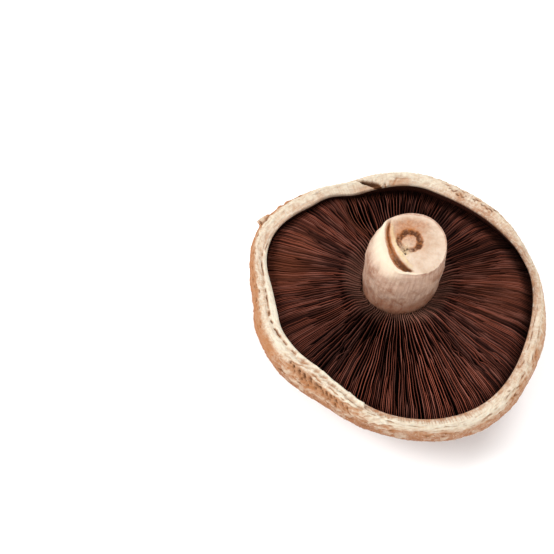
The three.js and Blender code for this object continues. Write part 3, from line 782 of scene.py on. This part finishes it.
# Handling has rubbed the gills flat in places, parted them and torn a few.
# Each place is the angle and distance from the stem's centre, its reach round and along, in mm.
count = len(made.vertices)
where = np.empty(count * 3)
made.vertices.foreach_get("co", where)
where = where.reshape(-1, 3) / MM
free_up = np.empty(count)
made.attributes["up"].data.foreach_get("value", free_up)
off_x, off_y = where[:, 0] - STEM_FOOT[0], where[:, 1] - STEM_FOOT[1]
gill_far, gill_at = np.hypot(off_x, off_y), np.degrees(np.arctan2(off_y, off_x)) % 360
to_left = np.stack([-off_y, off_x], -1) / gill_far[:, None]
rub = np.zeros(count)
# Towards the margin the blades are painted darker as shade under its edge, most of all at the upper right.
to_margin = np.interp(gill_at, np.degrees(angle), edge, period=360) - gill_far
shade_reach = np.interp(gill_at, (0, 25, 60, 85, 105, 125, 240, 285, 308, 330, 360),
                        (7.5, 9, 9.5, 5, 1.0, 0.5, 0.5, 1.6, 6.0, 7.5, 7.5))
dim = smooth(1.0, 0.15, to_margin / shade_reach)
# Painted shade: where they stand close they are darker than at the front.
close_by = np.interp(gill_at, (0, 20, 60, 90, 130, 180, 225, 245, 262, 285, 300, 320, 345, 360),
                     (0.18, 0.32, 0.46, 0.40, 0.36, 0.34, 0.46, 0.28, 0.03, 0.03, 0.24, 0.46, 0.38, 0.18))
dim = np.maximum(dim, close_by)


def near_place(at, far, wide, long):
    """1 at a place among the gills and 0 well outside it, and the distance round from it in mm."""
    off = ((gill_at - at + 180) % 360 - 180) * math.radians(1) * gill_far
    return np.exp(-(off / wide) ** 2 - ((gill_far - far) / long) ** 2), off


for at, far, wide, long, lean, low, rubbed in (
        (118, 31, 3.4, 9, 2.0, 0.7, 1.0), (172, 43, 9, 9, 1.5, 0.3, 1.0), (158, 40, 6, 6, -0.8, 0.2, 0.6),
        (350, 38, 12, 11, 0.6, 0.1, 0.55), (208, 30, 5, 7, 0.6, 0.4, 0.3)):
    here, _ = near_place(at, far, wide, long)
    where[:, :2] += to_left * (lean * here * free_up ** 1.5)[:, None]
    where[:, 2] -= low * here * free_up
    rub = np.maximum(rub, rubbed * here)
for at, far, wide, long, opening in (
        (109, 29, 2.2, 7, 0.8), (151, 28, 1.6, 6, 0.6), (268, 43, 1.6, 9, 0.6), (292, 30, 1.4, 7, 0.5),
        (320, 34, 1.5, 6, 0.5), (226, 34, 1.4, 6, 0.5), (185, 26, 1.5, 5, 0.5), (75, 26, 1.5, 5, 0.5)):
    here, off = near_place(at, far, wide, long)
    where[:, :2] += to_left * (opening * here * np.tanh(off / 0.5) * free_up)[:, None]
    where[:, 2] -= 1.2 * opening * np.exp(-(off / 0.8) ** 2) * here * free_up
noise.seed_set(5)  # noise_vector would start from the clock without it
for at, far, wide, long, torn in (
        (235, 38, 3.0, 2.6, 1.0), (303, 37.5, 2.2, 2.2, 1.0), (309, 46, 2.6, 3.0, 1.0), (342, 32, 1.8, 2.2, 0.8),
        (314, 51, 2.0, 2.0, 0.7)):
    here, _ = near_place(at, far, wide, long)
    spots = np.nonzero(here > 0.05)[0]
    scatter = np.array([noise.noise_vector(Vector(where[i] / 1.6)) for i in spots])
    where[spots] += scatter * (1.3 * torn * here[spots] * free_up[spots])[:, None]
    where[:, 2] -= 1.1 * torn * here * free_up
# Painted shadow patches between the blades.
for at, far, wide, long, weight in (
        (160, 25, 4, 5, 0.6), (303, 36, 6, 9, 0.45), (268, 44, 2.2, 8, 0.6), (225, 40, 12, 11, 0.3),
        (240, 44, 6, 8, 0.3), (70, 30, 12, 8, 0.3), (352, 38, 3.5, 3.5, 0.4), (20, 34, 8, 8, 0.25),
        (45, 24, 16, 9, 0.4), (245, 30, 10, 8, 0.2)):
    here, _ = near_place(at, far, wide, long)
    dim = np.clip(dim + weight * here, 0, 1)
made.vertices.foreach_set("co", (where * MM).ravel())
for name, values in (("rub", rub), ("dim", dim)):
    layer = made.attributes.new(name, "FLOAT", "POINT")
    layer.data.foreach_set("value", values)

# The layer that the gills are rooted in is a thin ring under them.
ring = []
for share_out, z in ((0, GILL_ROOT - 0.4), (0, GILL_ROOT + 0.6), (0.33, GILL_ROOT + 0.8),
                     (0.67, GILL_ROOT + 0.8), (1, GILL_ROOT + 0.6), (1, GILL_ROOT - 0.4)):
    far = GILL_INNER - 0.2 + share_out * (edge - GILL_INNER + 0.2)
    ring.append(np.stack([STEM_FOOT[0] + far * np.cos(angle), STEM_FOOT[1] + far * np.sin(angle),
                          np.full_like(far, z)], -1))
ring = np.array(ring)
bed = bpy.data.meshes.new("bed")
faces = []
for row in range(len(ring)):
    below = (row + 1) % len(ring)
    for i in range(OUTLINE_STEPS):
        j = (i + 1) % OUTLINE_STEPS
        faces.append((row * OUTLINE_STEPS + i, below * OUTLINE_STEPS + i,
                      below * OUTLINE_STEPS + j, row * OUTLINE_STEPS + j))
bed.from_pydata((ring.reshape(-1, 3) * MM).tolist(), [], faces)
joined = bmesh.new()
joined.from_mesh(made)
joined.from_mesh(bed)
bmesh.ops.recalc_face_normals(joined, faces=joined.faces)
for face in joined.faces:
    face.smooth = True
joined.to_mesh(made)
joined.free()
made.materials.clear()
made.materials.append(tissue)
gills.data = made
made.name = "gill_blades"
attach(gills, "root")
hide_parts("gills")


# The stem: a stout cream column of the same flesh, grown out of the middle of the cap.
# It was cut off short, so its end is a bare face with a brown ring and a torn edge.
# On its left the skin rounds over as a shoulder, parted from the cut face by a brown crease.
STEM_HEAD = (3.5, 9.6)
STEM_TALL = 34.3
STEM_SUNK = 0.8
STEM_END_TILT = math.tan(math.radians(8))
STEM_SIDE = [  # height above the floor, radius
    (-0.8, 13.7), (0, 13.8), (4, 13.9), (7, 14.2), (11, 14.35), (15, 14.35), (19.5, 14.25), (24, 14.05),
    (27.5, 13.75), (30.5, 13.3), (32.8, 12.9), (36.0, 12.6),
]
STEM_STEPS = 380
STRAND_RADIUS = 14  # that the upright strands are laid out on
# Radius of the end's outer edge, and of the pale ridge right of the crease, by angle.
EDGE_AT = (0, 30, 51, 74, 93, 113, 132, 145, 166, 193, 217, 241, 256, 270, 298, 313, 333, 347, 360)
EDGE_RADIUS = (12.4, 12.2, 12.0, 11.4, 11.4, 12.0, 12.6, 12.0, 10.4, 9.6, 10.3, 11.6, 11.5, 11.4, 12.7, 13.1, 13.0,
               12.7, 12.4)
RIDGE_AT = (0, 110, 125, 138, 162, 195, 229, 251, 262, 275, 360)
RIDGE_RADIUS = (13.5, 13.5, 12.4, 10.4, 8.0, 6.5, 6.9, 8.2, 9.4, 10.6, 13.5)
turn = np.arange(STEM_STEPS) / STEM_STEPS * 2 * math.pi
turn_degrees = np.degrees(turn)


def round_table(at, radii):
    """A table of radii by angle, softened, for each step round the stem."""
    values = np.interp(turn_degrees, at, radii)
    for _ in range(14):
        values = (np.roll(values, 1) + 2 * values + np.roll(values, -1)) / 4
    return values


edge_radius, ridge_radius = round_table(EDGE_AT, EDGE_RADIUS), round_table(RIDGE_AT, RIDGE_RADIUS)
circle = np.stack([np.cos(turn), np.sin(turn), 0 * turn], -1)
front = smooth(228, 262, turn_degrees) * smooth(356, 335, turn_degrees)
edge_radius = edge_radius + front * 0.35 * grain(circle * 12, 1.9, 3, 3.0) + 0.12 * grain(circle * 12, 1.5, 2, 8.0)
in_crease = smooth(126, 140, turn_degrees) * smooth(276, 262, turn_degrees)
shoulder = arc(turn, 150, 228, 38)


def end_height(inside):
    """The cut end at a share of the way out to its edge: its x, y and height, how brown it is (with painted shade lines
    in the crease), and how rusty and cream it is.
    """
    far = inside * edge_radius
    x, y = far * np.cos(turn), far * np.sin(turn)
    here = np.stack([x, y, 0 * x], -1)
    off = np.hypot(x + 0.8, (y - 1.1) * 1.12) + 0.5 * grain(here, 2.2, 2, 17.0)
    speckle = 0.5 + 0.8 * grain(here, 1.0, 2, 23.0)
    groove = band(off, 4.0 + 0.4 * grain(here, 1.6, 2, 87.0), 0.55, 0.85)
    t = np.clip((far - ridge_radius) / (edge_radius - ridge_radius), 0, 1)
    recess = in_crease * np.where(t < 0.35, t / 0.35, (1 - t) / 0.65) ** (0.8 + 1.4 * smooth(235, 165, turn_degrees))
    ridge = in_crease * np.exp(-((far - ridge_radius + 0.85) / 0.85) ** 2) * (0.8 + 0.5 * grain(here, 1.5, 2, 91.0))
    crumbs = np.exp(-((x + 2.5) ** 2 / 3 + (y + 2.9) ** 2 / 6))
    pits = sum(deep * np.exp(-((x - px) ** 2 + (y - py) ** 2) / 0.16)
               for px, py, deep in ((-2.7, -2.4, 0.7), (-2.6, -3.9, 1.0), (-1.7, -1.9, 0.5), (-3.3, -3.1, 0.5)))
    height = 0.45 * in_crease * smooth(0.9, 1.0, t) - 1.6 * recess + 0.55 * ridge \
        - groove * (0.45 + 0.5 * speckle) - 0.25 * smooth(4.4, 1.5, off) \
        + crumbs * (0.35 + 0.8 * grain(here, 0.9, 2, 29.0)) - 1.3 * pits \
        - 0.3 * smooth(1.0, 0.55, inside) - 1.0 * front * smooth(0.70, 1.0, inside) \
        + 0.22 * grain(here, 4.5, 2, 35.0) + 0.09 * grain(here, 0.9, 2, 31.0)
    upper_right = smooth(-4, 3, x + 0.6 * y)
    ring_left = 1 - 0.75 * crumbs
    heart = smooth(3.4, 2.4, off) * smooth(0.1, 0.5, grain(here, 0.7, 2, 97.0))
    brown = np.clip(groove * (0.42 + 0.75 * smooth(0.0, 0.9, speckle)) * (0.7 + 0.5 * upper_right) * ring_left
                    + 0.9 * np.clip(pits, 0, 1) + 0.22 * heart
                    + 0.22 * smooth(1.0, 8.0, y) * smooth(0.98, 0.8, inside) * smooth(0.2, 0.8, speckle)
                    + (0.45 + 0.5 * speckle) * in_crease * smooth(0.05, 0.2, t) * smooth(0.9, 0.6, t)
                    * smooth(185, 250, turn_degrees), 0, 1)
    in_fold = in_crease * smooth(0.02, 0.14, t) * smooth(1.0, 0.8 - 0.3 * smooth(215, 160, turn_degrees), t)
    rust = np.clip(1.1 * in_fold + 0.25 * smooth(3.4, 2.6, off) + 0.7 * band(off, 4.0, 0.8, 0.9) * ring_left
                   + 0.3 * smooth(9.5, 4.6, off) * upper_right
                   + 0.6 * smooth(0.0, 7.0, y - 0.4 * x) * smooth(0.99, 0.75, inside), 0, 1)
    # Two dark lines in the crease, where its wall meets the face, are painted shade.
    crease_shade_lines = in_crease * (np.exp(-((t - 0.26) / 0.14) ** 2) * smooth(195, 245, turn_degrees)
                        + 0.7 * np.exp(-((t - 0.62) / 0.12) ** 2) * smooth(205, 235, turn_degrees)
                        * smooth(0.2, 0.7, speckle))
    cream = np.clip(ridge + 0.8 * crumbs + in_crease * smooth(0.93, 1.0, t), 0, 1) * (1 - in_fold)
    return x, y, height, np.clip(brown + 0.6 * crease_shade_lines, 0, 1), rust, cream


brink = end_height(1.0)[2] + STEM_TALL
# Of these tones, the brown on the cut end holds painted shade lines in the crease, and the cream on the side is painted
# highlight.
rings, tones = [], []  # tones holds how brown, rusty and cream each ring is
for step in np.concatenate([np.linspace(0, 0.62, 46), np.linspace(0.635, 0.985, 40), [0.994, 1.0]]):
    h = -STEM_SUNK + step * (brink + STEM_SUNK)
    side = np.interp(h, *zip(*STEM_SIDE)) + shoulder * 1.25 * smooth(6, 27, h)
    side = side * (1 + 0.35 / 14 * np.cos(2 * (turn - math.radians(10))) * np.clip(h / 10, 0, 1))
    t = np.clip((h - 22) / (brink - 22), 0, 1)
    power = 9 - 6.3 * shoulder
    side = edge_radius + (side - edge_radius) * np.clip(1 - t ** power, 0, 1) ** (1 / power)
    side = side - 0.55 * front * np.exp(-((brink - h - 0.7) / 0.5) ** 2) * (1 - shoulder)
    rings.append(np.stack([side * np.cos(turn), side * np.sin(turn), h], -1))
    # On the side the cream share is painted highlight on the top of the shoulder, with a pale line along the front
    # lip's edge.
    tones.append((0 * turn, 0 * turn, shoulder * smooth(26.5, 34, h) + front * smooth(0.5, 0.2, brink - h)))
SIDE_RINGS = len(rings)
for inside in np.concatenate([[0.992, 0.975], np.linspace(0.955, 0.02, 66)]):
    x, y, height, *tone_here = end_height(inside)
    rings.append(np.stack([x, y, STEM_TALL + height], -1))
    tones.append(tone_here)
local = np.array(rings)
stem_h = local[..., 2].copy()
is_end = (np.arange(len(rings)) >= SIDE_RINGS)[:, None] + 0.0 * turn
turn_grid = np.broadcast_to(turn, stem_h.shape)
rise_share = np.clip(stem_h / STEM_TALL, 0, 1)
local[..., 2] += STEM_END_TILT * local[..., 1] * rise_share ** 3
strand_place = np.stack([STRAND_RADIUS * np.cos(turn_grid), STRAND_RADIUS * np.sin(turn_grid), 0.1 * stem_h], -1)
strands = 0.09 * grain(strand_place, 1.2, 3, 4.0) + 0.08 * grain(local, 1.6, 2, 51.0)
swell = 0.42 * grain(local, 8, 2, 21.0)
side_relief = (strands + swell - 0.1) * (1 - is_end) * smooth(brink, brink - 2.5, stem_h)
local = local + outward(local) * side_relief[..., None]
stem_points = local.copy()
stem_points[..., 0] += STEM_FOOT[0] + (STEM_HEAD[0] - STEM_FOOT[0]) * rise_share
stem_points[..., 1] += STEM_FOOT[1] + (STEM_HEAD[1] - STEM_FOOT[1]) * rise_share
stem_points[..., 2] += FLOOR_Z
stem = grid_mesh("stem", stem_points, (*STEM_FOOT, FLOOR_Z - STEM_SUNK), stem_points[-1].mean(0).tolist())
keep(stem, "height", stem_h, [0, STEM_TALL])
keep(stem, "cut", is_end, [0, 1])
for name, values, at_heart in zip(("brown", "rust", "cream"), np.array(tones).swapaxes(0, 1), (0, 0.8, 0)):
    keep(stem, name, values, [0, at_heart])
keep(stem, "strand", strand_place, [(0, 0, 0), (0, 0, 3)])

# Stem flesh: cream and silky with fine upright strands, bruised brown where it was handled.
flesh, tree, place = new_finish("portobello_stem_flesh")
strand = add(tree, "ShaderNodeAttribute", attribute_name="strand").outputs["Vector"]
height_value, cut_value, brown_value, rust_value, cream_and_highlight_value = (
    add(tree, "ShaderNodeAttribute", attribute_name=name).outputs["Fac"]
    for name in ("height", "cut", "brown", "rust", "cream"))
lines_noise, blotch, fine, streaky = (
    add(tree, "ShaderNodeTexNoise", {
        "Vector": add(tree, "ShaderNodeVectorMath", {0: on, 1: stretch}, operation="MULTIPLY"),
        "Scale": 1.0, "Detail": detail, "Roughness": rough})
    for on, stretch, detail, rough in (
        (strand, (1.1, 1.1, 1.1), 4, 0.6), (place, (0.2, 0.2, 0.2), 5, 0.68),
        (place, (1 / 1.3, 1 / 1.3, 1 / 1.3), 3, 0.6), (strand, (0.5, 0.5, 1.6), 4, 0.65)))
low_down = add(tree, "ShaderNodeMapRange", {"Value": height_value, "From Min": 26.0, "From Max": 10.0})
mottled = add(tree, "ShaderNodeMapRange", {"Value": fine, "From Min": 0.3, "From Max": 0.6, "To Min": 0.6})
face = lay_over(tree, colour("#c6b29f"), [("#b1957e", blotch, 0.4, 0.7, 1)])
cream = lay_over(tree, colour("#dccbb4"), [("#cdb48a", cut_value, 0, 1, 1)])
base = lay_over(tree, colour("#b99a86"), (
    # Darker towards its foot among the gills: partly staining, partly painted shade where it meets them.
    ("#957362", lines_noise, 0.4, 0.75, 0.8), ("#cbb3a2", fine, 0.5, 0.8, 0.5), ("#845640", height_value, 17, 7, 0.8),
    ("#84573f", blotch, 0.47, 0.64, 0.7), ("#7a4c38", streaky, 0.48, 0.64, 0.8, low_down), (face, cut_value, 0, 1, 1),
    # The cream layer is partly painted highlight on the shoulder, and the brown layer holds painted shade lines in the
    # crease.
    ("#a0602f", rust_value, 0, 1, 1, mottled), (cream, cream_and_highlight_value, 0, 1, 0.8), ("#4e280f", brown_value, 0, 1, 0.9)))
surface = add(tree, "ShaderNodeBsdfPrincipled", {
    "Base Color": base, "Roughness": 0.42, "IOR": 1.4, "Specular IOR Level": 0.25, "Subsurface Weight": 0.15,
    "Subsurface Radius": (1.0, 0.6, 0.35), "Subsurface Scale": 0.002,
    "Normal": add(tree, "ShaderNodeBump", {"Height": lines_noise, "Strength": 0.5, "Distance": 0.0003})})
add(tree, "ShaderNodeOutputMaterial", {"Surface": surface})
stem.data.materials.append(flesh)
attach(stem, "root")
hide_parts("cap_and_stem")


# The studio: a white sweep on the ground, a broad soft light from the upper left and an even sky.
floor_mesh = bpy.data.meshes.new("floor")
floor_mesh.from_pydata([(-4, -4, 0), (4, -4, 0), (4, 4, 0), (-4, 4, 0)], [], [(0, 1, 2, 3)])
floor = put("floor", floor_mesh)
paper = bpy.data.materials.new("white_paper")
paper.use_nodes = True
tree = paper.node_tree
tree.nodes.clear()
fibre = add(tree, "ShaderNodeTexNoise", {
    "Vector": add(tree, "ShaderNodeTexCoord").outputs["Object"], "Scale": 600.0, "Detail": 2.0})
add(tree, "ShaderNodeOutputMaterial", {"Surface": add(tree, "ShaderNodeBsdfPrincipled", {
    "Base Color": colour("#fafafa"), "Roughness": 0.9,
    "Normal": add(tree, "ShaderNodeBump", {"Height": fibre, "Strength": 0.05, "Distance": 0.0001})})})
floor_mesh.materials.append(paper)

sky = bpy.data.worlds.new("studio")
sky.use_nodes = True
sky.node_tree.nodes["Background"].inputs["Color"].default_value = colour("#ffffff")
sky.node_tree.nodes["Background"].inputs["Strength"].default_value = 0.8
bpy.context.scene.world = sky
for name, spot, size, power in (
        ("key_left", (-0.95, 0.0, 0.75), 0.7, 12.0), ("key_back_right", (0.55, 0.8, 0.9), 0.7, 9.0),
        ("fill_front", (0.45, -0.95, 0.45), 0.8, 6.0)):
    lamp = bpy.data.lights.new(name, "AREA")
    lamp.shape, lamp.size, lamp.energy = "DISK", size, power
    light = put(name, lamp)
    light.location = spot
    light.rotation_euler = (Vector((0, 0, 0.02)) - Vector(spot)).to_track_quat("-Z", "Y").to_euler()

# The photograph looks down at the gills from about 59 degrees, with the mushroom right of centre.
VIEW_DISTANCE = 0.8
VIEW_UP = math.radians(59)
AIM = Vector((-0.0466, 0.0150, 0.020))
lens = bpy.data.cameras.new("camera")
lens.sensor_width, lens.lens, lens.clip_start = 36.0, 134.7, 0.01
camera = put("camera", lens)
camera.location = AIM + Vector((0, -math.cos(VIEW_UP), math.sin(VIEW_UP))) * VIEW_DISTANCE
camera.rotation_euler = (AIM - camera.location).to_track_quat("-Z", "Y").to_euler()
bpy.context.scene.camera = camera
bpy.context.scene.view_settings.view_transform = "Standard"
